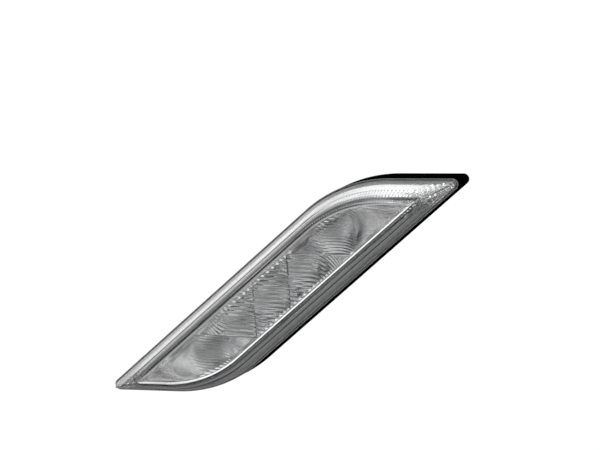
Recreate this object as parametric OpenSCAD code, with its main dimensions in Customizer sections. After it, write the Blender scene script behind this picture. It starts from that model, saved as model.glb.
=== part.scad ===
// Surface-mounted reversing light: a slanted clear lens over a metallised bezel,
// a ribbed inner optic and a bank of five reflector bowls, in a sealed black housing.
// Millimetres. The origin is the centre of the rear mounting face, the lens faces -Y and +Z is up.

/* [Outline] */
// Height between the two short level edges
lamp_height = 140; // [125:0.5:160]
// Width between the two long slanted sides, measured square to them
band_width = 52.6; // [50:0.2:60]
// Angle of the long sides above the level
lean = 38.2; // [35:0.2:44]
// Radius of the two blunt corners
blunt_r = 94; // [70:1:110]
// Radius of the two sharp tips
tip_r = 3.6; // [2.4:0.1:5]

/* [Lens] */
// Depth of the clear lens from the housing rim to its flat window
lens_rise = 20.4; // [17:0.2:26]
// Height of the rolled outer edge above the rim
edge_rise = 1.6; // [1.2:0.1:2.4]
// Distance of the rolled edge's inner line from the outline
edge_inset = 1.2; // [0.8:0.1:1.8]
// Height of the shoulder line above the rim
shoulder_rise = 13.8; // [12:0.2:15]
// Distance of the shoulder line from the outline
shoulder_inset = 5.5; // [4.6:0.1:6.2]
// Distance of the window's edge from the outline
window_inset = 9.5; // [8.8:0.1:10.5]
// How far the window lies sideways of the outline's middle
window_shift = 1.15; // [0:0.05:3]
// How far the window lies below the outline's middle
window_drop = 1.35; // [0:0.05:2.5]
// Wall of the lens
lens_wall = 2; // [1.6:0.1:2.4]
// Rounding of the lens's crease lines
crease_cut = 0.9; // [0.4:0.1:1.4]
// Width of the tongue that seats in the housing's groove
tongue_w = 1.3; // [1:0.1:1.6]
// Length of the tongue
tongue_len = 3.5; // [2.5:0.1:4.5]
// Distance of the tongue from the outline
tongue_inset = 1.2; // [1.1:0.1:1.4]

/* [Housing] */
// Height of the black housing from the gasket to its rim
housing_height = 17.2; // [16.6:0.2:22]
// Side wall of the housing
wall = 2.4; // [1.8:0.1:3]
// Back wall of the housing
floor_t = 2.5; // [2:0.1:3]
// Width of the rim flange that the lens and bezel sit on
rim_w = 5.8; // [5.6:0.1:6.4]
// Depth of the rim flange
rim_depth = 6.2; // [5.8:0.1:7.5]
// Play on each side of the tongue in its groove
groove_play = 0.3; // [0.2:0.05:0.5]
// Depth of sealant under the tongue
seal_depth = 0.9; // [0.5:0.1:1.2]

/* [Gasket and studs] */
// Thickness of the rubber gasket behind the housing
gasket_t = 2; // [1.5:0.1:3]
// How far the gasket's edge lies inside the housing's
gasket_setback = 0.3; // [0.2:0.1:1]
// Thread diameter of the two mounting studs
stud_d = 5; // [4:0.5:5]
// Free length of a stud behind the gasket
stud_len = 16; // [12:1:24]
// Distance of each stud from the board's tip
stud_from_tip = 67; // [64:0.5:70]
// Diameter of the stud's plain shank inside the lamp
stud_shank_d = 5.8; // [5.6:0.1:7]
// How far the shank's shoulder lies inside the gasket
stud_shoulder = 0.1; // [0.05:0.05:0.15]
// Diameter of the stud's head
stud_head_d = 10; // [9:0.5:11]
// Thickness of the stud's head
stud_head_t = 2.4; // [1.8:0.1:2.6]

/* [Bezel and optic] */
// Gap between the lens and the bezel behind it
bezel_gap = 0.5; // [0.3:0.05:0.8]
// Wall of the metallised bezel
bezel_t = 1.4; // [1.1:0.1:1.6]
// Thickness of the ribbed optic, ribs included
optic_t = 2.6; // [2.2:0.1:3]
// Gap between the optic's edge and the bezel's lip around it
optic_gap = 0.2; // [0.1:0.05:0.4]
// Width of the bezel's lip round the optic
lip_w = 1; // [0.8:0.1:1.4]
// Width of the ledge that carries the optic
ledge_w = 1.8; // [1.6:0.1:2.2]
// Pitch of the level ribs in the three middle cells
rib_pitch = 2.8; // [2:0.1:4]
// Depth of the ribs in the three middle cells
rib_depth = 0.8; // [0.4:0.05:1]
// Pitch of the finer ribs in the two end cells
fine_pitch = 1.8; // [1.4:0.1:2.6]
// Depth of the finer ribs in the two end cells
fine_depth = 0.35; // [0.2:0.05:0.5]
// Half the width of the centre cell
cell_half_w = 12.5; // [11:0.5:13]
// Half the height between the two long cell borders
cell_half_h = 26.5; // [24:0.5:28]

/* [Light sources] */
// Sideways spacing of the light sources
pitch_x = 22.4; // [21:0.2:23]
// Upward spacing of the light sources
pitch_y = 19.7; // [18.5:0.1:20.5]
// Side of a light source's ceramic base
led_side = 3.5; // [3:0.1:4]
// Thickness of a light source's ceramic base
led_base_t = 0.8; // [0.6:0.05:1]
// Radius of a light source's clear dome
dome_r = 1.4; // [1.2:0.05:1.45]

/* [Reflector] */
// Height of the reflector bank
reflector_h = 11; // [9:0.5:12]
// Gap between the circuit board and the reflector bank
reflector_gap = 2.4; // [2.3:0.05:2.8]
// Radius of the round bowls
bowl_r = 14.5; // [13:0.25:15.5]
// Radius of the opening at the foot of a bowl
throat_r = 3.8; // [3.4:0.1:4.4]
// Outer wall of the reflector bank
reflector_wall = 1; // [0.8:0.1:1.4]
// Play between the reflector bank and the bezel around it
reflector_play = 0.3; // [0.2:0.05:0.5]
// Diameter of the reflector's feet
foot_d = 4; // [3:0.2:5]
// Distance of the reflector's feet from the row of light sources
foot_offset = 6; // [5:0.2:7]

/* [Board] */
// Thickness of the circuit board
board_t = 1.6; // [1.2:0.1:2]
// Distance of the circuit board's edge from the outline
board_inset = 8; // [7.2:0.1:9]
// Thickness of the heat-conducting pad
pad_t = 0.4; // [0.3:0.05:0.6]
// Thickness of the aluminium heat spreader
spreader_t = 1.5; // [1.2:0.1:2]
// Height of the screw bosses under the spreader
boss_h = 4; // [3.9:0.1:5]
// Diameter of a screw boss
boss_d = 7; // [6:0.2:8]
// Distance of each capacitor from the board's tip
capacitor_from_tip = 23; // [21:0.5:24]
// Distance of the inductor from the board's tip
inductor_from_tip = 30.5; // [29:0.5:31]
// Distance of the driver chip from the board's tip
chip_from_tip = 38.5; // [38:0.5:40]
// Distance of the protection diode from the board's tip
diode_from_tip = 29.5; // [29:0.5:31]
// Distance of the resistors from the board's tip
resistor_from_tip = 36.5; // [36:0.5:39]
// Thread diameter of the board screws
screw_d = 3; // [2.5:0.1:3.2]
// Head diameter of the board screws
screw_head_d = 5.5; // [5:0.1:6]
// Head height of the board screws
screw_head_t = 1.8; // [1.4:0.1:2]
// Distance of each board screw from the row of light sources
screw_offset = 12.5; // [12:0.1:13]

/* [Connector] */
// Outer width of the connector's shroud
shroud_w = 17; // [16.6:0.2:18]
// Outer height of the connector's shroud
shroud_h = 11; // [10.4:0.2:12]
// Wall of the shroud
shroud_wall = 1.5; // [1.2:0.1:1.8]
// Length of the shroud behind the gasket face
shroud_len = 18; // [15:0.5:22]
// Depth of the socket
socket_depth = 14; // [12.5:0.5:14.5]
// How far the connector's flange stands out round the shroud
flange_w = 1.6; // [1.2:0.1:2]
// Thickness of the flange
flange_t = 2; // [1.6:0.1:2.4]
// Thickness of the flat seal under the flange
flat_seal_t = 0.8; // [0.5:0.1:1]
// Spacing of the two terminals
terminal_pitch = 6.4; // [6.2:0.1:7]
// Thickness of a terminal blade
blade_t = 0.8; // [0.6:0.1:1]
// Width of a terminal blade
blade_w = 2.8; // [2.2:0.1:3]
// How far the blades end inside the socket's mouth
blade_recess = 5.5; // [5:0.1:6]

/* [Vent] */
// Diameter of the breather's cap
vent_d = 9; // [8:0.2:10]
// Height of the breather's cap
vent_h = 1.4; // [1.2:0.1:1.6]
// Diameter of the breather's neck
vent_neck_d = 5; // [4.6:0.1:5.6]
// Bore through the breather
vent_bore_d = 2; // [1.6:0.1:2.4]
// Diameter of the breather's membrane
membrane_d = 4; // [3.4:0.1:4.2]

/* [Hidden] */
$fn = 64;

// Length, width and height of the parts soldered on the board
chip_size = [5, 4, 1.5];
inductor_size = [6, 6, 2.1];
capacitor_size = [3.2, 2.5, 2];
diode_size = [4.5, 3.6, 2];
resistor_size = [3.2, 1.6, 0.6];
// Spacing of the resistors
resistor_step = 2.6;

// A cut or a joining overlap runs this far past the solid it meets
past = 1;
// Steps round a blunt corner and round a tip of the outline
blunt_steps = 18;
tip_steps = 9;
// Smallest radius that an inset tip keeps
least_tip_r = 0.6;
// Steps round a softened crease
crease_steps = 3;
// Steps across one rib of the optic
rib_steps = 6;
// Play round anything that passes through a hole
hole_play = 0.2;
// Play round a part that drops into its own recess
seat_play = 0.05;

// Levels along the depth, counted forwards from the mounting face
z_floor = gasket_t + floor_t;
z_rim = gasket_t + housing_height;
z_edge = z_rim + edge_rise;
z_shoulder = z_rim + shoulder_rise;
z_window = z_rim + lens_rise;
z_spreader = z_floor + boss_h;
z_pad = z_spreader + spreader_t;
z_board = z_pad + pad_t;
z_board_top = z_board + board_t;
z_reflector = z_board_top + reflector_gap;
z_reflector_top = z_reflector + reflector_h;
z_optic_front = z_window - lens_wall;
z_optic_back = z_optic_front - optic_t;
z_tongue = z_rim - tongue_len;
z_groove = z_tongue - seal_depth;
z_rim_flange = z_rim - rim_depth;
z_flange = gasket_t - flat_seal_t - flange_t;
// Top and seat of a stud's head
stud_head_top = z_spreader - hole_play;
stud_head_z = stud_head_top - stud_head_t;
// Bottom of the blind holes in the screw bosses, and end of the screws in them
screw_hole_z = gasket_t + floor_t / 2;
screw_end_z = screw_hole_z + hole_play;

// The row of light sources: its direction, and the direction square to it
row_angle = atan2(pitch_y, pitch_x);
row_dir = [cos(row_angle), sin(row_angle)];
cross_dir = [-sin(row_angle), cos(row_angle)];
row_pitch = norm([pitch_x, pitch_y]);
core = [window_shift, -window_drop];
board_tip = [
  (band_width / 2 - board_inset + (lamp_height / 2 - board_inset) * cos(lean)) / sin(lean),
  lamp_height / 2 - board_inset];
tip_dir = [cos(lean / 2), sin(lean / 2)];
led_places = [for (k = [2:-1:-2]) core + k * [pitch_x, pitch_y]];
screw_places = [for (s = [-1.5, 1.5]) for (t = [-1, 1])
  core + s * row_pitch * row_dir + t * screw_offset * cross_dir];
stud_places = [for (s = [1, -1]) s * (board_tip - stud_from_tip * tip_dir)];
connector_place = core - row_pitch / 2 * row_dir;
terminal_places = [for (s = [-1, 1]) connector_place + s * [terminal_pitch / 2, 0]];
vent_place = core + row_pitch * row_dir;
foot_places = [for (s = [-1, 1]) for (t = [-1, 1])
  core + s * row_pitch / 2 * row_dir + t * foot_offset * cross_dir];

// Outer size of the connector's flange, and size of the socket inside its shroud
flange_size = [shroud_w, shroud_h] + 2 * flange_w * [1, 1];
socket_size = [shroud_w, shroud_h] - 2 * shroud_wall * [1, 1];
// Inset of the inner edge of the tongue's groove
groove_inner = tongue_inset + tongue_w + groove_play;

// One rounded corner of the outline, as steps of an arc from angle a to angle b
function corner(centre, r, a, b, steps) =
  [for (i = [0:steps]) centre + r * [cos(a + (b - a) * i / steps), sin(a + (b - a) * i / steps)]];

// The slanted outline moved inwards by inset, and sideways by shift. Its straight sides lie at
// fixed distances from the centre, and each corner arc touches the two sides beside it.
function outline(inset, shift = [0, 0]) =
  let (
    h = lamp_height / 2 - inset,
    w = band_width / 2 - inset,
    rb = blunt_r - inset,
    rt = max(tip_r - inset, least_tip_r),
    tip = [((w - rt) + (h - rt) * cos(lean)) / sin(lean), h - rt],
    blunt = [(-(w - rb) + (h - rb) * cos(lean)) / sin(lean), h - rb],
    half = concat(
      corner(tip, rt, lean - 90, 90, tip_steps),
      corner(blunt, rb, 90, 90 + lean, blunt_steps))
  )
  [for (side = [1, -1]) for (p = half) side * p + shift];

// Where the line through a along u meets the line through b along v
function meet(a, u, b, v) =
  a + u * ((b[0] - a[0]) * v[1] - (b[1] - a[1]) * v[0]) / (u[0] * v[1] - u[1] * v[0]);
// The direction from a to b, and the same turned to face the inside of the lamp
function heading(a, b) = (b - a) / norm(b - a);
function inside(u) = [u[1], -u[0]];

// The lens's outer section as points of inset and depth: rim, edge line, shoulder and window
section = [
  [0, z_rim], [edge_inset, z_edge], [shoulder_inset, z_shoulder],
  [window_inset, z_window], [band_width / 2, z_window]
];
// Corner i of the section, moved inside the lamp by d
function section_in(i, d) =
  let (u = heading(section[i - 1], section[i]), v = heading(section[i], section[i + 1]))
  meet(section[i] + d * inside(u), u, section[i] + d * inside(v), v);
// Depth of the bezel's front face behind the lens's outer face
bezel_front = lens_wall + bezel_gap;
// Outer corner of the bezel's lip, and insets of the optic's edge and of the sleeve under its ledge
lip = section_in(3, bezel_front);
optic_inset = lip[0] + lip_w + optic_gap;
sleeve_inset = optic_inset + ledge_w;
// The crease at p between a and b, softened into a short curve that ends cut away from p
function crease(a, p, b, cut) =
  let (from = p + cut * heading(p, a), to = p + cut * heading(p, b))
  [for (i = [0:crease_steps])
    let (s = i / crease_steps)
    (1 - s) * (1 - s) * from + 2 * s * (1 - s) * p + s * s * to];
// Rings, each an inset, a depth and a shift, at these points of the section, or of its copy moved
// inside the lamp by d. The shift grows evenly from nothing at the rim to the window's offset.
function shifted(points, d = 0) =
  [for (p = points) [p[0], p[1], core * min(1, max(0, (p[1] - z_rim) / (z_window - d - z_rim)))]];

// Joins rings of the outline into one solid. Closed rings run round a hollow section, and
// open ones end in two flat faces.
module ring_solid(rings, closed) {
  sides = [for (r = rings) [for (p = outline(r[0], r[2])) [p[0], p[1], r[1]]]];
  n = len(sides[0]);
  m = len(rings);
  last = closed ? m : m - 1;
  walls = [for (i = [0:last - 1]) for (j = [0:n - 1])
    let (a = i * n + j, b = i * n + (j + 1) % n,
         c = ((i + 1) % m) * n + (j + 1) % n, d = ((i + 1) % m) * n + j)
    each [[a, b, c], [a, c, d]]];
  ends = closed ? [] : [[for (j = [n - 1:-1:0]) j], [for (j = [0:n - 1]) (m - 1) * n + j]];
  polyhedron([for (s = sides) each s], concat(walls, ends), convexity = 8);
}

// A flat plate of the outline, from one depth to another
module plate(inset, from, to, shift = [0, 0]) {
  translate([0, 0, from]) linear_extrude(to - from) polygon(outline(inset, shift));
}

module tube_of(outer, inner, from, to) {
  difference() {
    plate(outer, from, to);
    plate(inner, from - past, to + past);
  }
}

module post(place, d, from, to) {
  translate([place[0], place[1], from]) cylinder(d = d, h = to - from);
}

// A block centred on a place, from one depth to another
module block(place, size, from, to) {
  translate([place[0] - size[0] / 2, place[1] - size[1] / 2, from])
    cube([size[0], size[1], to - from]);
}

// Turns the drawing, made flat with its depth upwards, so that the lens faces -Y
module stand() {
  rotate([90, 0, 0]) children();
}

// Die-cut rubber sheet behind the housing
module gasket() {
  color("#1b1b1b") stand() difference() {
    plate(gasket_setback, 0, gasket_t);
    for (p = stud_places) post(p, stud_shank_d + 2 * hole_play, -past, gasket_t + past);
    block(connector_place, flange_size + 4 * hole_play * [1, 1], -past, gasket_t + past);
    post(vent_place, vent_d + 4 * hole_play, -past, gasket_t + past);
  }
}

// Black moulded tray: back wall, side wall and a grooved rim, with bosses inside
module housing() {
  color("#101010") stand() difference() {
    union() {
      difference() {
        plate(0, gasket_t, z_rim);
        plate(wall, z_floor, z_rim_flange);
        plate(rim_w, z_rim_flange - past, z_rim + past);
      }
      for (p = screw_places) post(p, boss_d, z_floor - past, z_spreader);
      for (p = stud_places) post(p, stud_head_d + 2 * wall, z_floor - past, z_spreader);
    }
    difference() {
      plate(tongue_inset - groove_play, z_groove, z_rim + past);
      plate(groove_inner, z_groove - past, z_rim + 2 * past);
    }
    for (p = screw_places) post(p, screw_d + 2 * seat_play, screw_hole_z, z_spreader + past);
    for (p = stud_places) {
      post(p, stud_shank_d + 2 * seat_play, gasket_t - past, z_spreader + past);
      post(p, stud_head_d + 2 * seat_play, stud_head_z, z_spreader + past);
    }
    for (p = terminal_places) {
      block(p, [blade_t, blade_w] + 2 * hole_play * [1, 1], gasket_t - past, z_floor + past);
    }
    post(vent_place, vent_neck_d + 2 * seat_play, gasket_t - past, z_floor + past);
  }
}

// Bead of sealant at the bottom of the rim's groove
module lens_seal() {
  color("#2a2a2c") stand()
    tube_of(tongue_inset - groove_play, groove_inner, z_groove, z_tongue);
}

// Clear moulded lens: rolled edge, slanted border, steep riser and flat window,
// with a tongue that seats in the housing's groove
module outer_lens() {
  tongue_end = tongue_inset + tongue_w;
  outer = concat(
    crease([section[4][0], z_window], section[3], section[2], crease_cut),
    crease(section[3], section[2], section[1], crease_cut),
    [section[1], section[0]]);
  tongue = [[tongue_inset, z_rim], [tongue_inset, z_tongue], [tongue_end, z_tongue], [tongue_end, z_rim]];
  inner = [section_in(1, lens_wall), section_in(2, lens_wall), section_in(3, lens_wall)];
  color("#dfe6ea", 0.4) stand()
    ring_solid(concat(shifted(concat(outer, tongue)), shifted(inner, lens_wall)), false);
}

// Metallised bezel: foot on the rim flange, slanted face behind the lens's border, riser with
// a lip round the optic, ledge for the optic and a sleeve down to the reflector bank
module bezel() {
  front = concat(
    [[groove_inner + bezel_gap, z_rim], section_in(1, bezel_front)],
    crease(section_in(1, bezel_front), section_in(2, bezel_front), lip, crease_cut),
    [lip, lip + [lip_w, 0]]);
  sleeve = [
    [lip[0] + lip_w, z_optic_back], [sleeve_inset, z_optic_back], [sleeve_inset, z_reflector_top],
    [sleeve_inset - bezel_t, z_reflector_top], [sleeve_inset - bezel_t, z_optic_back - bezel_t]];
  back = [section_in(2, bezel_front + bezel_t), [rim_w - seat_play, z_rim]];
  color("#d8dadc") stand()
    ring_solid(concat(shifted(front, bezel_front), [for (p = sleeve) [p[0], p[1], core]],
      shifted(back, bezel_front + bezel_t)), true);
}

// The five cells, which meet along level and upright borders. Cell 1 is at the top.
module cell(k) {
  far = lamp_height + band_width;
  if (k == 1) translate([-far, cell_half_h]) square(2 * far);
  if (k == 2) translate([cell_half_w, cell_half_h - 2 * far]) square(2 * far);
  if (k == 3) square([2 * cell_half_w, 2 * cell_half_h], center = true);
  if (k > 3) rotate(180) cell(6 - k);
}

// Level ribs of one pitch and depth, on a slab that reaches forward to the optic's front face
module ribs(pitch, depth) {
  count = ceil(lamp_height / pitch / 2);
  crests = [for (i = [-count * rib_steps:count * rib_steps])
    [i * pitch / rib_steps, z_optic_back + depth * (1 + cos(i * 360 / rib_steps)) / 2]];
  reach = lamp_height / tan(lean) + band_width / sin(lean);
  translate([-reach / 2, 0, 0]) rotate([90, 0, 90]) linear_extrude(reach)
    polygon(concat(crests, [[count * pitch, z_optic_front], [-count * pitch, z_optic_front]]));
}

// Clear inner optic with level ribs on its back, finer in the two end cells
module rib_optic() {
  color("#e4e8ea", 0.5) stand() translate([core[0], core[1], 0])
    for (k = [1:5]) {
      end = k == 1 || k == 5;
      intersection() {
        ribs(end ? fine_pitch : rib_pitch, end ? fine_depth : rib_depth);
        translate([0, 0, z_optic_back - past]) linear_extrude(optic_t + 2 * past) intersection() {
          polygon(outline(optic_inset));
          cell(k);
        }
      }
    }
}

// Metallised reflector bank: a round bowl in each cell, stepped where two cells meet, inside
// an upright outer wall, with feet that stand on the board
module reflector() {
  inset = sleeve_inset + reflector_play;
  centre_z = z_reflector + sqrt(bowl_r * bowl_r - throat_r * throat_r);
  color("#cfd2d4") stand() {
    difference() {
      plate(inset, z_reflector, z_reflector_top, core);
      intersection() {
        plate(inset + reflector_wall, z_reflector - past, z_reflector_top + past, core);
        union() {
          for (k = [1:5]) intersection() {
            translate([led_places[k - 1][0], led_places[k - 1][1], centre_z]) sphere(bowl_r);
            translate([core[0], core[1], z_reflector]) linear_extrude(reflector_h + past) cell(k);
          }
          for (p = led_places) post(p, 2 * throat_r, z_reflector - past, z_reflector_top);
        }
      }
    }
    for (p = foot_places) post(p, foot_d, z_board_top, z_reflector + past);
  }
}

// Holes through the board, pad and spreader for the screws and the terminals
module through_holes(from, to) {
  for (p = screw_places) post(p, screw_d + 2 * hole_play, from - past, to + past);
  for (p = terminal_places) {
    block(p, [blade_t, blade_w] + 2 * hole_play * [1, 1], from - past, to + past);
  }
}

module layer(inset, from, to) {
  difference() {
    plate(inset, from, to);
    through_holes(from, to);
  }
}

module led_board() {
  color("#e9ebe8") stand() layer(board_inset, z_board, z_board_top);
}

module thermal_pad() {
  color("#8f9aa6") stand() layer(board_inset + seat_play, z_pad, z_board);
}

module heat_spreader() {
  color("#b4b7ba") stand() layer(board_inset, z_spreader, z_pad);
}

// Ceramic base of a light source
module led(k) {
  color("#f3f2ea") stand()
    block(led_places[k - 1], [led_side, led_side], z_board_top, z_board_top + led_base_t);
}

// Clear dome on a light source
module led_dome(k) {
  base = z_board_top + led_base_t;
  color("#f2e2a0", 0.7) stand() intersection() {
    translate([led_places[k - 1][0], led_places[k - 1][1], base]) sphere(dome_r);
    post(led_places[k - 1], 3 * dome_r, base, base + 2 * dome_r);
  }
}

// A part soldered on the board, at a distance from its upper tip, or from its lower one
module fitted(from_tip, size, upper = true, beside = 0) {
  side = upper ? 1 : -1;
  place = side * (board_tip - from_tip * tip_dir) + [0, beside];
  block(place, [size[0], size[1]], z_board_top, z_board_top + size[2]);
}

module driver_chip() {
  color("#202022") stand() fitted(chip_from_tip, chip_size);
}

module inductor() {
  color("#4a4a4c") stand() fitted(inductor_from_tip, inductor_size);
}

module output_capacitor() {
  color("#b7a27c") stand() fitted(capacitor_from_tip, capacitor_size);
}

module input_capacitor() {
  color("#b7a27c") stand() fitted(capacitor_from_tip, capacitor_size, false);
}

module protection_diode() {
  color("#202022") stand() fitted(diode_from_tip, diode_size, false);
}

module resistors() {
  color("#2c2c30") stand()
    for (i = [-1:1]) fitted(resistor_from_tip, resistor_size, false, i * resistor_step);
}

module board_screws() {
  color("#c3c5c8") stand() for (p = screw_places) {
    post(p, screw_d, screw_end_z, z_board_top);
    post(p, screw_head_d, z_board_top, z_board_top + screw_head_t);
  }
}

// Mounting stud, held by its head in the housing
module stud(place) {
  color("#c3c5c8") stand() {
    post(place, stud_d, -stud_len, stud_shoulder);
    post(place, stud_shank_d, stud_shoulder, stud_head_z);
    post(place, stud_head_d, stud_head_z, stud_head_top);
  }
}

// Two-way socket of the sealed connector on the back
module connector_shell() {
  color("#161616") stand() difference() {
    union() {
      block(connector_place, [shroud_w, shroud_h], -shroud_len, z_flange);
      block(connector_place, flange_size, z_flange, z_flange + flange_t);
    }
    block(connector_place, socket_size, -shroud_len - past, -shroud_len + socket_depth);
    for (p = terminal_places) block(p, [blade_t, blade_w], -shroud_len, z_flange + flange_t + past);
  }
}

// Flat ring between the connector's flange and the housing
module connector_seal() {
  color("#30343a") stand() difference() {
    block(connector_place, flange_size, z_flange + flange_t, gasket_t);
    block(connector_place, socket_size, z_flange, gasket_t + past);
  }
}

// Terminal blade, from the socket to the board that it is soldered in
module terminal(i) {
  color("#c9b06a") stand()
    block(terminal_places[i], [blade_t, blade_w], -shroud_len + blade_recess, z_board_top + blade_t);
}

// Breather: cap under the gasket's cut-out, neck through the back wall, bore through both
module vent_cap() {
  color("#2b2b2d") stand() difference() {
    union() {
      post(vent_place, vent_d, gasket_t - vent_h, gasket_t);
      post(vent_place, vent_neck_d, gasket_t, z_floor);
    }
    post(vent_place, vent_bore_d, gasket_t - vent_h - past, z_floor + past);
  }
}

// Thin disc over the breather's inner end
module vent_membrane() {
  color("#f4f4f0") stand() post(vent_place, membrane_d, z_floor, z_floor + pad_t);
}

gasket();
housing();
lens_seal();
outer_lens();
bezel();
rib_optic();
reflector();
led_board();
thermal_pad();
heat_spreader();
led(1);  // led_1
led(2);  // led_2
led(3);  // led_3
led(4);  // led_4
led(5);  // led_5
led_dome(1);  // led_dome_1
led_dome(2);  // led_dome_2
led_dome(3);  // led_dome_3
led_dome(4);  // led_dome_4
led_dome(5);  // led_dome_5
driver_chip();
inductor();
input_capacitor();
output_capacitor();
protection_diode();
resistors();
board_screws();
stud(stud_places[0]);  // stud_upper
stud(stud_places[1]);  // stud_lower
connector_shell();
connector_seal();
terminal(0);  // terminal_1
terminal(1);  // terminal_2
vent_cap();
vent_membrane();
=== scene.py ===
"""Looks of a slanted reversing light: clear stepped lens, metallised bezel and bowls, ribbed optic.

The visible surfaces are worked out in millimetres from the part's own sizes. The lens and the bezel are
rings of points round the slanted outline, and the optic and the reflector are heights over level rows.
"""
import math

import bmesh
import bpy
import numpy as np
from mathutils import Matrix, Vector


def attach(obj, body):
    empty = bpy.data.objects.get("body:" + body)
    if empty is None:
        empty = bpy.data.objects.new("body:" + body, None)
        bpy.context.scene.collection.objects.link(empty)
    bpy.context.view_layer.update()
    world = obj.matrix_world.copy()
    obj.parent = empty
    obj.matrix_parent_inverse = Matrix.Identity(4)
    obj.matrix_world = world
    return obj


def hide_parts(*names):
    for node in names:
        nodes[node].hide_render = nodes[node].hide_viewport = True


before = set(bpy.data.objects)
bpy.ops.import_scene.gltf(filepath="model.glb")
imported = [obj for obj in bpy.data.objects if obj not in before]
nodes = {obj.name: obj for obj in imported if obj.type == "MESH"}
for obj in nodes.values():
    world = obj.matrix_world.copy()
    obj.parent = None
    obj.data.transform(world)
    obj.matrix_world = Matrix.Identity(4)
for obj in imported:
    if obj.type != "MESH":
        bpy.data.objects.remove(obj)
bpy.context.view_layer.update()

# Sizes in millimetres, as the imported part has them
MM = 0.001
HEIGHT = 140.0
WIDTH = 52.6
LEAN = math.radians(38.2)
BLUNT_R = 94.0
TIP_R = 3.6
LEAST_TIP_R = 0.6
WINDOW_OFFSET = np.array([1.15, -1.35])
Z_RIM = 19.2
Z_WINDOW = Z_RIM + 20.4
EDGE = (1.2, Z_RIM + 1.6)
SHOULDER = (5.5, Z_RIM + 13.8)
WINDOW_INSET = 9.5
LENS_WALL = 2.0
TONGUE_IN = 1.2
TONGUE_OUT = 2.5
TONGUE_LEN = 3.5
BEZEL_FRONT = LENS_WALL + 0.5
BEZEL_T = 1.4
BEZEL_FOOT = 3.3
BEZEL_HEEL = 5.75
LIP_W = 1.0
OPTIC_GAP = 0.2
OPTIC_T = 2.6
LEDGE_W = 1.8
REFLECTOR_PLAY = 0.3
Z_OPTIC_FRONT = Z_WINDOW - LENS_WALL
Z_OPTIC_BACK = Z_OPTIC_FRONT - OPTIC_T
Z_REFLECTOR = 14.4
Z_REFLECTOR_TOP = 25.4
CELL_HALF_W = 12.5
CELL_HALF_H = 26.5
PITCH = np.array([22.4, 19.7])
STUD_R = 2.5
SHANK_R = 2.9
STUD_SHOULDER = 0.1
HEAD_R = 5.0
HEAD_T = 2.4

# Upright flutes on the risers of lens and bezel: they break the risers into fine light and dark lines
FLUTE_PITCH = 1.9
STATIONS_PER_FLUTE = 6
TIP_STEPS = 28
LENS_FLUTE_DEPTH = 0.08
BEZEL_FLUTE_DEPTH = 0.45
# Fine ribs over the bezel's border, which draw streaks along it
RIB_DEPTH = 0.05
# Rows of small beads on the bezel's border, this far below its knee
BEAD_ROWS = (0.6, 5.0)
BEAD_HALF = 0.7
BEAD_DEPTH = 0.3
# Facets near the two tips, which sparkle
TIP_REACH = 12.0
TIP_FACET = 2.6
LENS_FACET_DEPTH = 0.3
BEZEL_FACET_DEPTH = 0.3

# Air left between the clear lens and what it rests on, so that each face is seen through the other
SEAT = 0.03
# How much of each crease is rounded, and the longest step along a section
CREASE_STEPS = 7
CREASE_CUT = 0.9
EDGE_CUT = 0.5
INNER_CUT = 1.0
BEZEL_CUT = 0.3
SKIN_STEP = 2.5
INNER_STEP = 1.0
BEZEL_STEP = 0.6
# Lengths over which flutes, ribs and facets grow from nothing
LENS_FLUTE_START = 0.8
LENS_FLUTE_END = 0.5
FACET_FADE = 1.0
RIB_START = 1.5
BEZEL_FLUTE_START = 1.0
BEZEL_FLUTE_END = 0.8
# The bezel's riser starts this far beyond the section's own corner, and above that its faces take a darker
# copy of the metal, painted shade for the grey of the riser
KNEE_REACH = 1.5
PAINTED_SHADE_START = 0.4
# The bezel's lip is chamfered, which draws the white line round the window's lower side
LIP_DROP = 0.9
LIP_CORNER = (0.1, 0.06)
LIP_CORNER_DROP = 0.2

# Level ribs of the optic, shallow domes in front of the light sources, and grooves between cells
OPTIC_GRID = (425, 225)
END_PITCH = 1.8
END_RIB = 0.26
MIDDLE_PITCH = 2.8
MIDDLE_RIB = 0.6
RIB_BEND = 1.6
UPRIGHT_PITCH = 1.2
UPRIGHT_FLUTE = 0.05
DOME_ACROSS_R = 85.0
DOME_UP_R = 90.0
MOST_SAG = 1.6
GROOVE_HALF = 0.5
GROOVE_DEPTH = 1.1
SIDE_GROOVE = 0.05
LEAST_PANE = 0.3
PANE_AIR = 0.02

# Wide bowls of the reflector, with shallow level flutes
REFLECTOR_GRID = (420, 200)
BOWL_SPREAD = 8.0
BOWL_BOTTOM = 0.8
BOWL_MARGIN = 1.0
BOWL_FLUTE = 0.08
BOWL_FLUTE_PITCH = 2.4
LEAST_FLOOR = 0.4

# Thread of the studs, and the small bevels at their ends
STUD_SIDES = 36
THREAD_PITCH = 0.8
THREAD_DEPTH = 0.4
THREAD_STEPS = 10
THREAD_RUN_IN = 0.6
THREAD_TAPER = 1.0
THREAD_END = 0.2
POINT_STEP = 0.4
HEAD_BEVEL = 0.3
AXIS_R = 0.01

# The housing's forward faces this near the rim are light grey: painted light that lifts the dark the lens
# shows over the black housing. How far a face's normal points along the depth tells a forward face or a
# side wall
PAINTED_LIGHT_REACH = 5.0
FACES_FORWARD = 0.7
FACES_SIDEWAYS = 0.6


def stations():
    """Kind and share of each station on half of the outline (tip arc, level edge, blunt arc and
    long side), spaced evenly at the window's inset."""
    step = FLUTE_PITCH / STATIONS_PER_FLUTE
    h, w = HEIGHT / 2 - WINDOW_INSET, WIDTH / 2 - WINDOW_INSET
    blunt = (BLUNT_R - WINDOW_INSET) * LEAN
    reach = (BLUNT_R - WINDOW_INSET) * math.tan(LEAN / 2)
    level = 2 * w / math.sin(LEAN) - reach
    side = 2 * h / math.sin(LEAN) - reach
    counts = [TIP_STEPS, round(level / step), round(blunt / step), round(side / step)]
    kind = np.repeat(np.arange(4), counts)
    share = np.concatenate([np.arange(c) / c for c in counts])
    return kind, share


KIND, SHARE = stations()
HALF = len(KIND)


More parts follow.
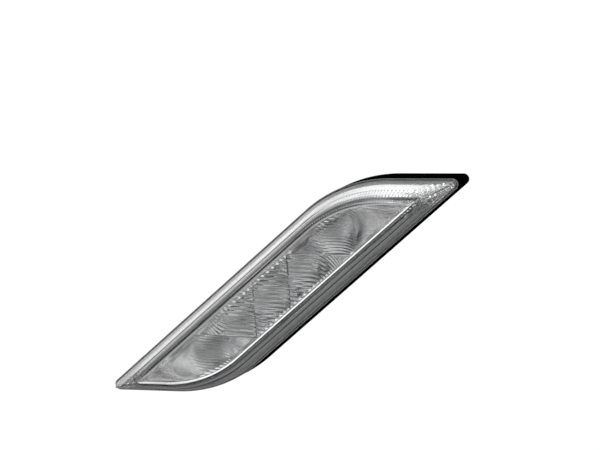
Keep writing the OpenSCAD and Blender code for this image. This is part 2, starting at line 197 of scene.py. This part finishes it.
def half_outline(inset):
    """Half of the slanted outline moved inwards by inset: arcs about corner centres at fixed
    distances from the sides, and straight runs between the arcs' ends."""
    h, w = HEIGHT / 2 - inset, WIDTH / 2 - inset
    rt, rb = np.maximum(TIP_R - inset, LEAST_TIP_R), BLUNT_R - inset
    tip = np.stack([((w - rt) + (h - rt) * math.cos(LEAN)) / math.sin(LEAN), h - rt], 1)
    blunt = np.stack([(-(w - rb) + (h - rb) * math.cos(LEAN)) / math.sin(LEAN), h - rb], 1)
    up = np.array([0.0, 1.0])
    out = np.array([-math.sin(LEAN), math.cos(LEAN)])
    turn_tip = LEAN - math.pi / 2 + SHARE * (math.pi - LEAN)
    turn_blunt = math.pi / 2 + SHARE * LEAN
    f, rt, rb = SHARE[:, None], rt[:, None], rb[:, None]
    runs = [
        tip + rt * np.stack([np.cos(turn_tip), np.sin(turn_tip)], 1),
        (1 - f) * (tip + rt * up) + f * (blunt + rb * up),
        blunt + rb * np.stack([np.cos(turn_blunt), np.sin(turn_blunt)], 1),
        (1 - f) * (blunt + rb * out) + f * (rt * out - tip),
    ]
    return np.choose(KIND[:, None], runs)


def outline(inset, shift=(0.0, 0.0)):
    """The whole outline: half of it and the same turned by half a turn, moved by shift."""
    inset = np.broadcast_to(np.asarray(inset, float), 2 * HALF)
    return np.concatenate([half_outline(inset[:HALF]), -half_outline(inset[HALF:])]) + np.asarray(shift)


# Distance round the outline of each station, and the flutes' wave: 0 on their crests, 1 in their hollows
RUN = np.concatenate([[0.0], np.cumsum(np.linalg.norm(np.diff(outline(WINDOW_INSET), axis=0), axis=1))])
AROUND = RUN[-1] + FLUTE_PITCH / STATIONS_PER_FLUTE
RIPPLE = (1 - np.cos(2 * np.pi * RUN / (AROUND / round(AROUND / FLUTE_PITCH)))) / 2


def near_tip():
    """Share that fades from 1 at each tip with the square of the distance round the outline."""
    away = np.minimum(RUN, np.minimum(abs(RUN - AROUND / 2), AROUND - RUN))
    return np.exp(-((away / TIP_REACH) ** 2))


def facets(z):
    """Checker of smooth bumps: cosine of the depth times cosine of the distance round the outline."""
    return np.cos(2 * np.pi * z / TIP_FACET)[:, None] * np.cos(2 * np.pi * RUN / TIP_FACET)


def ramp(distance, reach):
    """Share that grows evenly from 0 to 1 over the reach."""
    return np.clip(distance / reach, 0, 1)


def placed(points):
    """Points given as across, up and forward in millimetres, in the part's frame in metres."""
    return np.stack([points[..., 0], -points[..., 2], points[..., 1]], -1) * MM


def quads(rows, cols, wrap_rows=False, wrap_cols=False):
    """Faces of a grid of rows by cols points, closed round in either direction if asked."""
    r = np.arange(rows if wrap_rows else rows - 1)[:, None]
    c = np.arange(cols if wrap_cols else cols - 1)[None, :]
    r2, c2 = (r + 1) % rows, (c + 1) % cols
    return np.stack([r * cols + c, r * cols + c2, r2 * cols + c2, r2 * cols + c], -1).reshape(-1, 4)


def fan(start, count, centre, flip):
    """Triangles from one ring of points to a centre point."""
    i = np.arange(count)
    j = (i + 1) % count
    order = [j, i] if flip else [i, j]
    return np.stack([start + order[0], start + order[1], np.full(count, centre)], 1)


def linked(name, mesh):
    """An object of the mesh, in the scene and on the part's one body."""
    obj = bpy.data.objects.new(name, mesh)
    bpy.context.scene.collection.objects.link(obj)
    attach(obj, "root")
    return obj


def shade(mesh, angle):
    """Smooth shading, with a crease where two faces meet at more than the angle."""
    mesh.shade_smooth()
    mesh.set_sharp_from_angle(angle=math.radians(angle))


def finished(name, points, faces, node, material, angle=30.0):
    """A piece from points and lists of faces, creased above the angle, in the place of a node."""
    mesh = bpy.data.meshes.new(name)
    polygons = [f.tolist() for group in faces for f in group]
    mesh.from_pydata(placed(np.asarray(points, float)).tolist(), [], polygons)
    mesh.validate()
    shade(mesh, angle)
    mesh.materials.append(material)
    obj = linked(name, mesh)
    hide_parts(node)
    return obj


def heading(a, b):
    """The direction from a to b."""
    return (b - a) / np.linalg.norm(b - a)


def inwards(u):
    """The direction square to u that points inside the lamp."""
    return np.array([u[1], -u[0]])


def meet(a, u, b, v):
    """Where the line through a along u meets the line through b along v."""
    d = b - a
    return a + u * (d[0] * v[1] - d[1] * v[0]) / (u[0] * v[1] - u[1] * v[0])


# Outer section of the lens, as inset from the outline and level, from the rim to the window's middle
SECTION = np.array([[0, Z_RIM], EDGE, SHOULDER, [WINDOW_INSET, Z_WINDOW], [WIDTH / 2, Z_WINDOW]])


def section_in(i, d):
    """Corner i of the lens's outer section, moved inside the lamp by d."""
    u, v = heading(SECTION[i - 1], SECTION[i]), heading(SECTION[i], SECTION[i + 1])
    return meet(SECTION[i] + d * inwards(u), u, SECTION[i] + d * inwards(v), v)


def crease(a, p, b, cut):
    """The corner at p between a and b, drawn as a short quadratic curve that starts cut away."""
    a, p, b = (np.asarray(q, float) for q in (a, p, b))
    s = np.linspace(0, 1, CREASE_STEPS)[:, None]
    start, end = p + cut * heading(p, a), p + cut * heading(p, b)
    return (1 - s) ** 2 * start + 2 * s * (1 - s) * p + s ** 2 * end


def dense(points, step):
    """The polyline with points added so that none lie further apart than step."""
    out = [points[:1]]
    for a, b in zip(points[:-1], points[1:]):
        n = max(1, math.ceil(np.linalg.norm(b - a) / step))
        out.append(a + (b - a) * np.linspace(0, 1, n + 1)[1:, None])
    return np.concatenate(out)


def shifts(points, d=0.0):
    """Each point's share of the window's offset, which grows evenly from the rim to the window."""
    share = np.clip((points[:, 1] - Z_RIM) / (Z_WINDOW - d - Z_RIM), 0, 1)
    return share[:, None] * WINDOW_OFFSET


def loft(points, shift, wave):
    """Rings of the outline at these insets and levels, each moved by its shift. wave adds an inset
    that varies round each ring."""
    rings = []
    for (inset, z), move, varied in zip(points, shift, wave):
        flat = outline(inset + varied, move)
        rings.append(np.column_stack([flat, np.full(len(flat), z)]))
    return np.array(rings)


def outer_lens():
    """Clear lens: outer skin from the window down to the rim, tongue, and inner skin back up. The
    inner skin moves out by the flutes' wave on its riser and by the facets near the tips."""
    skin = np.concatenate([
        crease(SECTION[4], SECTION[3], SECTION[2], CREASE_CUT),
        crease(SECTION[3], SECTION[2], SECTION[1], CREASE_CUT),
        crease(SECTION[2], SECTION[1], SECTION[0], EDGE_CUT),
        [[0, Z_RIM + SEAT]],
    ])
    skin = dense(skin, SKIN_STEP)
    start, end, low = TONGUE_IN + SEAT, TONGUE_OUT - SEAT, Z_RIM - TONGUE_LEN + SEAT
    tongue = np.array([[start, Z_RIM + SEAT], [start, low], [end, low], [end, Z_RIM + SEAT]])
    foot, knee, top = (section_in(i, LENS_WALL) for i in (1, 2, 3))
    inner = dense(np.concatenate([[foot], crease(foot, knee, top, INNER_CUT), [top]]), INNER_STEP)
    outside = np.concatenate([skin, tongue])
    points = np.concatenate([outside, inner])
    shift = np.concatenate([shifts(outside), shifts(inner, LENS_WALL)])
    z = inner[:, 1]
    on_riser = ramp(z - knee[1], LENS_FLUTE_START) * ramp(top[1] - z, LENS_FLUTE_END)
    on_wall = ramp(z - foot[1], FACET_FADE) * ramp(top[1] - z, FACET_FADE)
    wave = np.zeros((len(points), 2 * HALF))
    wave[len(outside):] = -LENS_FLUTE_DEPTH * on_riser[:, None] * RIPPLE
    wave[len(outside):] -= LENS_FACET_DEPTH * on_wall[:, None] * near_tip() * (1 - facets(z))
    rings = loft(points, shift, wave)
    m, n = rings.shape[:2]
    centres = np.array([[*WINDOW_OFFSET, Z_WINDOW], [*WINDOW_OFFSET, Z_OPTIC_FRONT]])
    faces = [
        quads(m, n, wrap_cols=True)[:, ::-1],
        fan(0, n, m * n, False),
        fan((m - 1) * n, n, m * n + 1, True),
    ]
    spots = np.concatenate([rings.reshape(-1, 3), centres])
    finished("outer_lens_moulding", spots, faces, "outer_lens", clear_acrylic)


LIP = section_in(3, BEZEL_FRONT)
OPTIC_INSET = LIP[0] + LIP_W + OPTIC_GAP
SLEEVE_INSET = OPTIC_INSET + LEDGE_W
REFLECTOR_INSET = SLEEVE_INSET + REFLECTOR_PLAY


def bezel():
    """Metallised bezel: a closed section carried round the outline. Its front moves in by the ribs'
    and flutes' wave, by a bell-shaped row of beads at each of two levels, and by the facets."""
    low, knee = section_in(1, BEZEL_FRONT), section_in(2, BEZEL_FRONT)
    knee = knee + KNEE_REACH * heading(low, knee)
    lip_foot = LIP - LIP_DROP / (LIP[1] - knee[1]) * (LIP - knee)
    lip = np.array([
        lip_foot, LIP + [LIP_W - LIP_CORNER[0], -LIP_CORNER[1]], LIP + [LIP_W, -LIP_CORNER_DROP]])
    face = np.concatenate([[[BEZEL_FOOT, Z_RIM], low], crease(low, knee, LIP, BEZEL_CUT), [lip_foot]])
    face = dense(face, BEZEL_STEP)[:-1]
    sleeve = np.array([
        [LIP[0] + LIP_W, Z_OPTIC_BACK], [SLEEVE_INSET, Z_OPTIC_BACK], [SLEEVE_INSET, Z_REFLECTOR_TOP],
        [SLEEVE_INSET - BEZEL_T, Z_REFLECTOR_TOP], [SLEEVE_INSET - BEZEL_T, Z_OPTIC_BACK - BEZEL_T]])
    back = np.array([section_in(2, BEZEL_FRONT + BEZEL_T), [BEZEL_HEEL, Z_RIM]])
    shift = np.concatenate([
        shifts(np.concatenate([face, lip]), BEZEL_FRONT),
        np.tile(WINDOW_OFFSET, (len(sleeve), 1)),
        shifts(back, BEZEL_FRONT + BEZEL_T),
    ])
    points = np.concatenate([face, lip, sleeve, back])
    z = face[:, 1]
    on_face = ramp(z - low[1], RIB_START)
    on_riser = ramp(z - knee[1], BEZEL_FLUTE_START) * ramp(lip_foot[1] - z, BEZEL_FLUTE_END)
    beads = sum(np.exp(-((z - knee[1] + drop) / BEAD_HALF) ** 2) for drop in BEAD_ROWS)
    depth = RIB_DEPTH * on_face * (1 - on_riser) + BEZEL_FLUTE_DEPTH * on_riser + BEAD_DEPTH * beads
    wave = np.zeros((len(points), 2 * HALF))
    wave[:len(face)] = depth[:, None] * RIPPLE
    wave[:len(face)] += BEZEL_FACET_DEPTH * on_face[:, None] * near_tip() * facets(z)
    rings = loft(points, shift, wave)
    m, n = rings.shape[:2]
    faces = [quads(m, n, wrap_rows=True, wrap_cols=True)]
    obj = finished(
        "bezel_trim", rings.reshape(-1, 3), faces, "bezel", metallised, angle=35)
    # The riser's fluted faces get the darker copy of the metal: painted shade
    obj.data.materials.append(painted_shade_metallised)
    painted_shade = np.zeros(m)
    painted_shade[:len(face) - 1] = (z[:-1] > knee[1] + PAINTED_SHADE_START) & (z[1:] < lip_foot[1])
    obj.data.polygons.foreach_set("material_index", np.repeat(painted_shade, n).astype(np.int32))


def row_ends(inset, y):
    """Left and right ends of level rows across the outline."""
    flat = outline(inset)
    right = np.concatenate([flat[HALF:][KIND >= 2], flat[:HALF][KIND == 0]])
    return -np.interp(-y, right[:, 1], right[:, 0]), np.interp(y, right[:, 1], right[:, 0])


def row_grid(inset, rows, cols):
    """A grid of points in level rows that fill the outline, about the window's centre."""
    top = HEIGHT / 2 - inset
    y = np.linspace(-top, top, rows)
    left, right = row_ends(inset, y)
    u = np.linspace(0, 1, cols)[None, :]
    x = left[:, None] * (1 - u) + right[:, None] * u
    return x, np.broadcast_to(y[:, None], x.shape)


def slab(x, y, relief, flat_z, relief_behind=False):
    """A closed solid between a height field over the grid and one flat face inside its border."""
    rows, cols = x.shape
    n = rows * cols
    index = np.arange(n).reshape(rows, cols)
    border = np.concatenate([index[0, :-1], index[:-1, -1], index[-1, :0:-1], index[:0:-1, 0]])
    sheet = np.stack([x + WINDOW_OFFSET[0], y + WINDOW_OFFSET[1], relief], -1).reshape(-1, 3)
    rim = np.column_stack([sheet[border, :2], np.full(len(border), flat_z)])
    k = np.arange(len(border))
    j = (k + 1) % len(border)
    walls = np.stack([border[k], n + k, n + j, border[j]], 1)
    faces = [quads(rows, cols), walls, (n + k)[None, ::-1]]
    if relief_behind:
        faces = [group[:, ::-1] for group in faces]
    return np.concatenate([sheet, rim]), faces


def cell_of(x, y):
    """Number of the cell, from 0 at the top to 4, that each point lies in."""
    middle = np.where(x > CELL_HALF_W, 1, np.where(x < -CELL_HALF_W, 3, 2))
    return np.where(y > CELL_HALF_H, 0, np.where(y < -CELL_HALF_H, 4, middle))


LEDS = np.array([k * PITCH for k in (2, 1, 0, -1, -2)])


def rib_optic():
    """Clear pane: before each light source a shallow dome, sag u2 / 2Ru + v2 / 2Rv, with level ribs
    that bend with the cube of u, fine upright flutes over all, and a groove between cells."""
    x, y = row_grid(OPTIC_INSET, *OPTIC_GRID)
    cell = cell_of(x, y)
    u, v = x - LEDS[cell][..., 0], y - LEDS[cell][..., 1]
    end = (cell == 0) | (cell == 4)
    pitch, depth = np.where(end, END_PITCH, MIDDLE_PITCH), np.where(end, END_RIB, MIDDLE_RIB)
    bent = y + RIB_BEND * (u / CELL_HALF_W) ** 3
    ribs = depth * (1 + np.cos(2 * np.pi * bent / pitch)) / 2
    flutes = UPRIGHT_FLUTE * (1 + np.cos(2 * np.pi * x / UPRIGHT_PITCH)) / 2
    sag = np.minimum(u ** 2 / (2 * DOME_ACROSS_R) + v ** 2 / (2 * DOME_UP_R), MOST_SAG)
    level_edge = np.exp(-((abs(y) - CELL_HALF_H) / GROOVE_HALF) ** 2)
    side_edge = np.exp(-((abs(x) - CELL_HALF_W) / GROOVE_HALF) ** 2) * (abs(y) < CELL_HALF_H)
    groove = GROOVE_DEPTH * np.maximum(level_edge, SIDE_GROOVE * side_edge)
    back = np.minimum(Z_OPTIC_BACK + sag + ribs + flutes + groove, Z_OPTIC_FRONT - LEAST_PANE)
    points, faces = slab(x, y, back, Z_OPTIC_FRONT - PANE_AIR, relief_behind=True)
    finished("rib_optic_pane", points, faces, "rib_optic", clear_optic, angle=60)


def reflector():
    """Metallised bank: wide bowls, one about each light source, that run into each other. Its height
    is the product over the sources of 1 - exp(-(u2 + v2) / 2S2), with shallow level flutes."""
    x, y = row_grid(REFLECTOR_INSET, *REFLECTOR_GRID)
    reach = (x[..., None] - LEDS[:, 0]) ** 2 + (y[..., None] - LEDS[:, 1]) ** 2
    bowls = (1 - np.exp(-reach / (2 * BOWL_SPREAD ** 2))).prod(-1)
    rise = (Z_REFLECTOR_TOP - Z_REFLECTOR - BOWL_MARGIN) * bowls
    flutes = BOWL_FLUTE * np.cos(2 * np.pi * y / BOWL_FLUTE_PITCH)
    front = np.clip(Z_REFLECTOR + BOWL_BOTTOM + rise + flutes, Z_REFLECTOR + LEAST_FLOOR, Z_REFLECTOR_TOP)
    points, faces = slab(x, y, front, Z_REFLECTOR)
    finished("reflector_bank", points, faces, "reflector", bowl_metal, angle=35)


def threaded_stud(node):
    """Stud turned about its axis: radius R - H |2 frac(s / P - turn) - 1| along its thread, where s
    runs along the axis, then its plain shank and its head."""
    spots = np.array([nodes[node].matrix_world @ v.co for v in nodes[node].data.vertices]) / MM
    low, high = spots.min(0), spots.max(0)
    across, up = (low[0] + high[0]) / 2, (low[2] + high[2]) / 2
    tip, top = high[1], low[1]
    turn = np.arange(STUD_SIDES) / STUD_SIDES
    steps = round((tip - THREAD_END) / (THREAD_PITCH / THREAD_STEPS))
    along = np.linspace(0, tip - THREAD_END, steps)
    tooth = np.abs(2 * ((along[:, None] / THREAD_PITCH - turn) % 1) - 1)
    thread = STUD_R - THREAD_DEPTH * tooth * ramp(along, THREAD_RUN_IN)[:, None]
    taper = ramp(tip - along, THREAD_TAPER)[:, None]
    thread = np.minimum(thread, STUD_R - THREAD_DEPTH + THREAD_DEPTH * taper)
    head = [
        (AXIS_R, top), (HEAD_R - HEAD_BEVEL, top), (HEAD_R, top + HEAD_BEVEL), (HEAD_R, top + HEAD_T),
        (SHANK_R, top + HEAD_T), (SHANK_R, -STUD_SHOULDER), (STUD_R, -STUD_SHOULDER)]
    point = np.full((2, STUD_SIDES), STUD_R - THREAD_DEPTH - POINT_STEP)
    point[1] = AXIS_R
    radius = np.concatenate([np.tile([[r] for r, _ in head], (1, STUD_SIDES)), thread, point])
    depth = np.concatenate([[y for _, y in head], along, [tip, tip]])
    points = np.stack([
        across + radius * np.cos(2 * np.pi * turn),
        up + radius * np.sin(2 * np.pi * turn),
        np.broadcast_to(-depth[:, None], radius.shape),
    ], -1)
    faces = [quads(len(depth), STUD_SIDES, wrap_cols=True)]
    finished(node + "_thread", points.reshape(-1, 3), faces, node, zinc, angle=25)


# Points of a CAD node's mesh that lie closer than this, in metres, are one point
MERGE_DISTANCE = 1e-6


def smooth_copy(name, angle=30.0):
    """A merged copy of a CAD node, smoothed up to the angle, that takes its place."""
    mesh = nodes[name].data.copy()
    mesh.transform(nodes[name].matrix_world)
    merged = bmesh.new()
    merged.from_mesh(mesh)
    bmesh.ops.remove_doubles(merged, verts=merged.verts, dist=MERGE_DISTANCE)
    merged.to_mesh(mesh)
    merged.free()
    shade(mesh, angle)
    obj = linked(name + "_moulding", mesh)
    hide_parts(name)
    return obj


def matt_rim(obj):
    """The side walls are matt, and the forward faces near the rim are light grey, painted light that
    brightens what the lens shows there.
    """
    obj.data.materials.append(matt_abs)
    obj.data.materials.append(rim_painted_light)
    faces = obj.data.polygons
    facing = np.array([f.normal.y for f in faces])
    depth = np.array([f.center.y for f in faces])
    # Forward faces near the rim get the light grey: painted light
    painted_light_faces = (facing < -FACES_FORWARD) & (depth < -(Z_RIM - PAINTED_LIGHT_REACH) * MM)
    walls = abs(facing) < FACES_SIDEWAYS
    faces.foreach_set("material_index", np.where(painted_light_faces, 2, walls).astype(np.int32))


def srgb(hex_colour):
    """Linear colour of an sRGB hex value."""
    parts = [int(hex_colour[i:i + 2], 16) / 255 for i in (1, 3, 5)]
    return tuple(c / 12.92 if c <= 0.04045 else ((c + 0.055) / 1.055) ** 2.4 for c in parts)


def new_material(name):
    """A new material, its node tree and its shader."""
    material = bpy.data.materials.new(name)
    material.use_nodes = True
    tree = material.node_tree
    return material, tree, tree.nodes["Principled BSDF"]


def add(tree, kind, inputs, **settings):
    """Adds a node. Its inputs, by name or number, are values or other nodes' outputs."""
    node = tree.nodes.new(kind)
    for key, value in settings.items():
        setattr(node, key, value)
    for key, value in inputs.items():
        if isinstance(value, bpy.types.NodeSocket):
            tree.links.new(value, node.inputs[key])
        else:
            node.inputs[key].default_value = value
    return node


def plastic(name, colour, roughness, grain_mm, grain_depth, shine=0.5, metallic=0.0):
    """A moulded or metallised surface. Its fine grain varies the gloss a little and softens the
    edges of highlights, as the skin of a real moulding does."""
    material, tree, shader = new_material(name)
    shader.inputs["Base Color"].default_value = (*srgb(colour), 1)
    shader.inputs["Metallic"].default_value = metallic
    shader.inputs["Specular IOR Level"].default_value = shine
    place = add(tree, "ShaderNodeTexCoord", {}).outputs["Object"]
    noise = add(tree, "ShaderNodeTexNoise", {"Vector": place, "Scale": 1 / (grain_mm * MM), "Detail": 3.0})
    grain = noise.outputs["Fac"]
    low, high = roughness
    gloss = add(tree, "ShaderNodeMapRange", {"Value": grain, "To Min": low, "To Max": high})
    tree.links.new(gloss.outputs["Result"], shader.inputs["Roughness"])
    bump = add(tree, "ShaderNodeBump", {"Strength": 1.0, "Distance": grain_depth * MM, "Height": grain})
    tree.links.new(bump.outputs["Normal"], shader.inputs["Normal"])
    return material


def clear(name, roughness):
    """Clear moulded acrylic: light passes and bends at each face."""
    material, _, shader = new_material(name)
    shader.inputs["Base Color"].default_value = (1, 1, 1, 1)
    shader.inputs["Transmission Weight"].default_value = 1.0
    shader.inputs["IOR"].default_value = ACRYLIC_IOR
    shader.inputs["Roughness"].default_value = roughness
    return material


ACRYLIC_IOR = 1.49

# Name, colour, lowest and highest roughness, size of the grain and its depth in millimetres
clear_acrylic = clear("clear_moulded_acrylic", 0.0)
clear_optic = clear("clear_moulded_optic_acrylic", 0.02)
metallised = plastic("vacuum_metallised_polycarbonate", "#E6E7E8", (0.06, 0.10), 0.8, 0.002, metallic=1.0)
bowl_metal = plastic("metallised_reflector_bowls", "#E8E9EA", (0.10, 0.15), 0.8, 0.002, metallic=1.0)
# Darker copy of the metallised finish for the bezel's riser flutes: painted shade, not a finish of its own
painted_shade_metallised = plastic("painted_shade_metallised_flutes", "#7C7E80", (0.05, 0.09), 0.8, 0.002, metallic=1.0)
black_abs = plastic("black_moulded_abs", "#141415", (0.38, 0.5), 0.35, 0.006)
matt_abs = plastic("matt_black_rim_abs", "#040404", (0.7, 0.8), 0.35, 0.01, shine=0.0)
rubber = plastic("black_epdm_rubber", "#1A1A1B", (0.6, 0.75), 0.5, 0.02)
zinc = plastic("zinc_plated_steel", "#B9BBBD", (0.25, 0.4), 0.4, 0.004, metallic=1.0)
board_white = plastic("white_solder_mask_board", "#E8EAE6", (0.35, 0.45), 0.6, 0.003)
aluminium = plastic("mill_aluminium", "#C4C6C8", (0.3, 0.42), 0.5, 0.004, metallic=1.0)
pad_grey = plastic("grey_thermal_silicone", "#8B95A0", (0.6, 0.7), 0.8, 0.01)
ceramic = plastic("white_sintered_ceramic", "#F2F0E8", (0.3, 0.4), 0.3, 0.002)
dome_silicone = plastic("phosphor_silicone_dome", "#E8C95A", (0.12, 0.2), 0.3, 0.001)
black_resin = plastic("black_package_resin", "#1D1D1F", (0.5, 0.6), 0.3, 0.004)
ferrite = plastic("pressed_ferrite", "#3A3A3C", (0.5, 0.65), 0.4, 0.008)
fired_ceramic = plastic("fired_capacitor_ceramic", "#A98F68", (0.35, 0.5), 0.4, 0.003)
tinned = plastic("tinned_brass", "#CFC8B0", (0.2, 0.3), 0.4, 0.003, metallic=1.0)
film = plastic("porous_vent_film", "#F2F2EE", (0.7, 0.85), 0.3, 0.006)
# Light grey for the housing's forward rim faces: painted light, not a real sealant film
rim_painted_light = plastic("grey_rim_painted_light", "#C4C6C8", (0.4, 0.5), 0.8, 0.01)
sealant = plastic("cured_white_sealant", "#F2F3F3", (0.4, 0.5), 0.8, 0.01)

NODE_MATERIALS = {
    "gasket": rubber, "housing": black_abs, "lens_seal": sealant, "led_board": board_white,
    "thermal_pad": pad_grey, "heat_spreader": aluminium, "driver_chip": black_resin, "inductor": ferrite,
    "input_capacitor": fired_ceramic, "output_capacitor": fired_ceramic, "protection_diode": black_resin,
    "resistors": black_resin, "board_screws": zinc, "stud_upper": zinc, "stud_lower": zinc,
    "connector_shell": black_abs, "connector_seal": rubber, "terminal_1": tinned, "terminal_2": tinned,
    "vent_cap": black_abs, "vent_membrane": film,
}
for i in range(1, len(LEDS) + 1):
    NODE_MATERIALS[f"led_{i}"] = ceramic
    NODE_MATERIALS[f"led_dome_{i}"] = dome_silicone
for name, material in NODE_MATERIALS.items():
    nodes[name].data.materials.clear()
    nodes[name].data.materials.append(material)

# Below this angle the many facets of the housing's and gasket's corners are shaded as one curve
CORNER_ANGLE = 18
matt_rim(smooth_copy("housing", CORNER_ANGLE))
matt_rim(smooth_copy("gasket", CORNER_ANGLE))
smooth_copy("connector_shell")
smooth_copy("connector_seal")
smooth_copy("vent_cap")
threaded_stud("stud_upper")
threaded_stud("stud_lower")
outer_lens()
bezel()
rib_optic()
reflector()

# Direction of the studio's white side, and how its white fades to the grey in front
WHITE_SIDE = (0.565, 0.825, 0.0)
WHITE_FROM = 0.02
WHITE_FULL = 0.14
WHITE_LIGHT = 1.25
FRONT_GREY = 0.34
# The brighter patch of the studio in front of the lamp, towards its left
FRONT_SIDE = (-0.42, -0.89, -0.18)
FRONT_FROM = 0.6
FRONT_FULL = 0.95
FRONT_LIGHT = 1.0
# Soft lamp overhead, and low card whose light the bezel's lower lip catches
TOP_SOFTBOX = {"place": (0.25, 0.2, 2.0), "aim": (0, 0, 0), "size": (1.3, 1.3), "power": 8}
LOW_CARD = {"place": (0.0, -0.26, -0.40), "aim": (0.0, -0.26, 0.0), "size": (1.0, 0.32), "power": 1.3}
# Level of the floor, half its width, its own colour, and the light it gets for the camera alone
FLOOR_Z = -0.42
FLOOR_HALF = 12.0
FLOOR_GREY = 0.24
FLOOR_GLOW = 0.8

CAMERA_AZIMUTH = math.radians(25.5)
CAMERA_ELEVATION = math.radians(11.4)
CAMERA_ROLL = math.radians(4.37)
CAMERA_DISTANCE = 2.2
CAMERA_SIGHT = 50
PIXELS_PER_MM = 1.583
PHOTO_SIZE = (600, 450)
# Pixel of the photograph where the lamp's middle depth point lies
MIDDLE_PIXEL = (284.0, 286.0)
MIDDLE = Vector((0, -0.016, 0))
SENSOR_MM = 36.0


def studio_light(tree, way, side, low, high, dark, light):
    """Light that grows smoothly from dark to light as the ray's share of the side goes low to high."""
    share = add(tree, "ShaderNodeVectorMath", {0: way, 1: side}, operation="DOT_PRODUCT").outputs["Value"]
    inputs = {"Value": share, "From Min": low, "From Max": high, "To Min": dark, "To Max": light}
    return add(tree, "ShaderNodeMapRange", inputs, interpolation_type="SMOOTHSTEP").outputs["Result"]


def light_world():
    """Plain studio round the lamp: white to the camera, and to the object white towards the upper
    left and behind, and grey in front."""
    world = bpy.data.worlds.new("studio")
    bpy.context.scene.world = world
    world.use_nodes = True
    tree = world.node_tree
    tree.nodes.clear()
    path = add(tree, "ShaderNodeLightPath", {}).outputs["Is Camera Ray"]
    way = add(tree, "ShaderNodeTexCoord", {}).outputs["Generated"]
    bright = studio_light(tree, way, WHITE_SIDE, WHITE_FROM, WHITE_FULL, FRONT_GREY, WHITE_LIGHT)
    more = studio_light(tree, way, FRONT_SIDE, FRONT_FROM, FRONT_FULL, 0.0, FRONT_LIGHT)
    total = add(tree, "ShaderNodeMath", {0: bright, 1: more}, operation="ADD").outputs["Value"]
    seen = add(tree, "ShaderNodeBackground", {"Color": (1, 1, 1, 1), "Strength": total})
    white = add(tree, "ShaderNodeBackground", {"Color": (1, 1, 1, 1), "Strength": 1.0})
    mix = add(tree, "ShaderNodeMixShader", {0: path, 1: seen.outputs[0], 2: white.outputs[0]})
    add(tree, "ShaderNodeOutputWorld", {"Surface": mix.outputs[0]})


def softbox(name, place, aim, size, power):
    """A soft rectangular lamp that faces its aim."""
    lamp = bpy.data.lights.new(name, "AREA")
    lamp.shape = "RECTANGLE"
    lamp.size, lamp.size_y = size
    lamp.energy = power
    obj = bpy.data.objects.new(name, lamp)
    bpy.context.scene.collection.objects.link(obj)
    obj.location = place
    obj.rotation_euler = (Vector(aim) - Vector(place)).to_track_quat("-Z", "Y").to_euler()


def photo_camera():
    """Camera at the photograph's viewing angle, aimed so that the lamp's middle falls on its pixel."""
    a, e = CAMERA_AZIMUTH, CAMERA_ELEVATION
    back = Vector((math.sin(a) * math.cos(e), -math.cos(a) * math.cos(e), math.sin(e)))
    level = Vector((math.cos(a), math.sin(a), 0))
    upright = back.cross(level)
    right = level * math.cos(CAMERA_ROLL) - upright * math.sin(CAMERA_ROLL)
    up = level * math.sin(CAMERA_ROLL) + upright * math.cos(CAMERA_ROLL)
    off = (PHOTO_SIZE[0] / 2 - MIDDLE_PIXEL[0], MIDDLE_PIXEL[1] - PHOTO_SIZE[1] / 2)
    place = MIDDLE + back * CAMERA_DISTANCE
    aim = MIDDLE + (right * off[0] + up * off[1]) * (MM / PIXELS_PER_MM)
    away = (place - aim).normalized()
    right = (right - away * right.dot(away)).normalized()
    turn = Matrix((right, away.cross(right), away)).transposed()
    camera = bpy.data.cameras.new("camera")
    camera.sensor_width = SENSOR_MM
    camera.lens = PIXELS_PER_MM * CAMERA_DISTANCE / MM * SENSOR_MM / PHOTO_SIZE[0]
    camera.clip_end = CAMERA_SIGHT
    obj = bpy.data.objects.new("camera", camera)
    bpy.context.scene.collection.objects.link(obj)
    obj.matrix_world = Matrix.Translation(place) @ turn.to_4x4()
    bpy.context.scene.camera = obj


def studio_floor():
    """Pale floor well below the lamp, lifted to white for the camera but for the lamp's shadow."""
    mesh = bpy.data.meshes.new("floor")
    corners = [(x * FLOOR_HALF, y * FLOOR_HALF, FLOOR_Z) for x, y in ((-1, -1), (1, -1), (1, 1), (-1, 1))]
    mesh.from_pydata(corners, [], [(0, 1, 2, 3)])
    obj = bpy.data.objects.new("floor", mesh)
    bpy.context.scene.collection.objects.link(obj)
    material, tree, shader = new_material("pale_floor")
    shader.inputs["Base Color"].default_value = (FLOOR_GREY, FLOOR_GREY, FLOOR_GREY, 1)
    shader.inputs["Roughness"].default_value = 1.0
    path = add(tree, "ShaderNodeLightPath", {}).outputs["Is Camera Ray"]
    glow = add(tree, "ShaderNodeEmission", {"Color": (1, 1, 1, 1), "Strength": FLOOR_GLOW})
    lifted = add(tree, "ShaderNodeAddShader", {0: shader.outputs[0], 1: glow.outputs[0]})
    mix = add(tree, "ShaderNodeMixShader", {0: path, 1: shader.outputs[0], 2: lifted.outputs[0]})
    tree.links.new(mix.outputs[0], tree.nodes["Material Output"].inputs["Surface"])
    mesh.materials.append(material)


light_world()
softbox("top_softbox", **TOP_SOFTBOX)
softbox("low_front_card", **LOW_CARD)
photo_camera()
studio_floor()
bpy.context.scene.view_settings.view_transform = "Standard"
